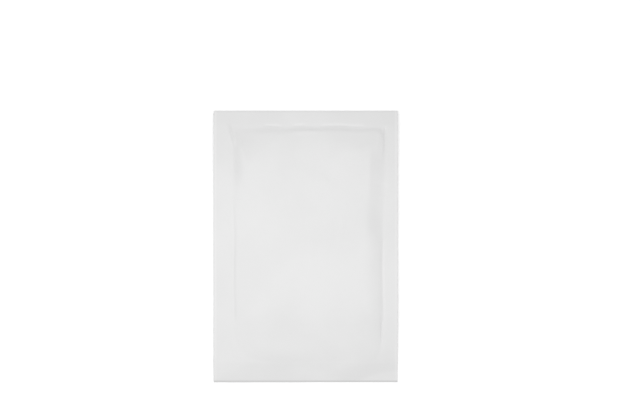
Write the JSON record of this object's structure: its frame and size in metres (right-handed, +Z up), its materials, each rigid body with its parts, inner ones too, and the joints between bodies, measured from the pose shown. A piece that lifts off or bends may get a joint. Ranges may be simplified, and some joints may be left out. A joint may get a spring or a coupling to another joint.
{
  "type": "bubble mailer",
  "caption": "White film bubble mailer lying face up: flat sealed borders round a raised, bubble-padded middle, the flap with its covered glue strip folded under, for posting small goods.",
  "frame": {"origin": "on the floor under the middle of the mailer's outline", "axes": "+Z up out of the front face, +Y from the bottom fold to the top fold, +X to the right as the front face is seen"},
  "size_m": [0.18, 0.265, 0.0083],
  "materials": {
    "film": "white polyethylene film, soft gloss",
    "lining": "clear to milky bubble film, glossy",
    "adhesive": "pale yellowish pressure glue, glossy",
    "liner": "smooth siliconed release film",
    "tape": "semi-clear tear tape, glossy"
  },
  "bodies": {
    "root": {"film_envelope": "film", "bubble_lining": "lining", "adhesive_strip": "adhesive", "release_liner": "liner", "reopen_tape": "tape"}
  },
  "joints": []
}
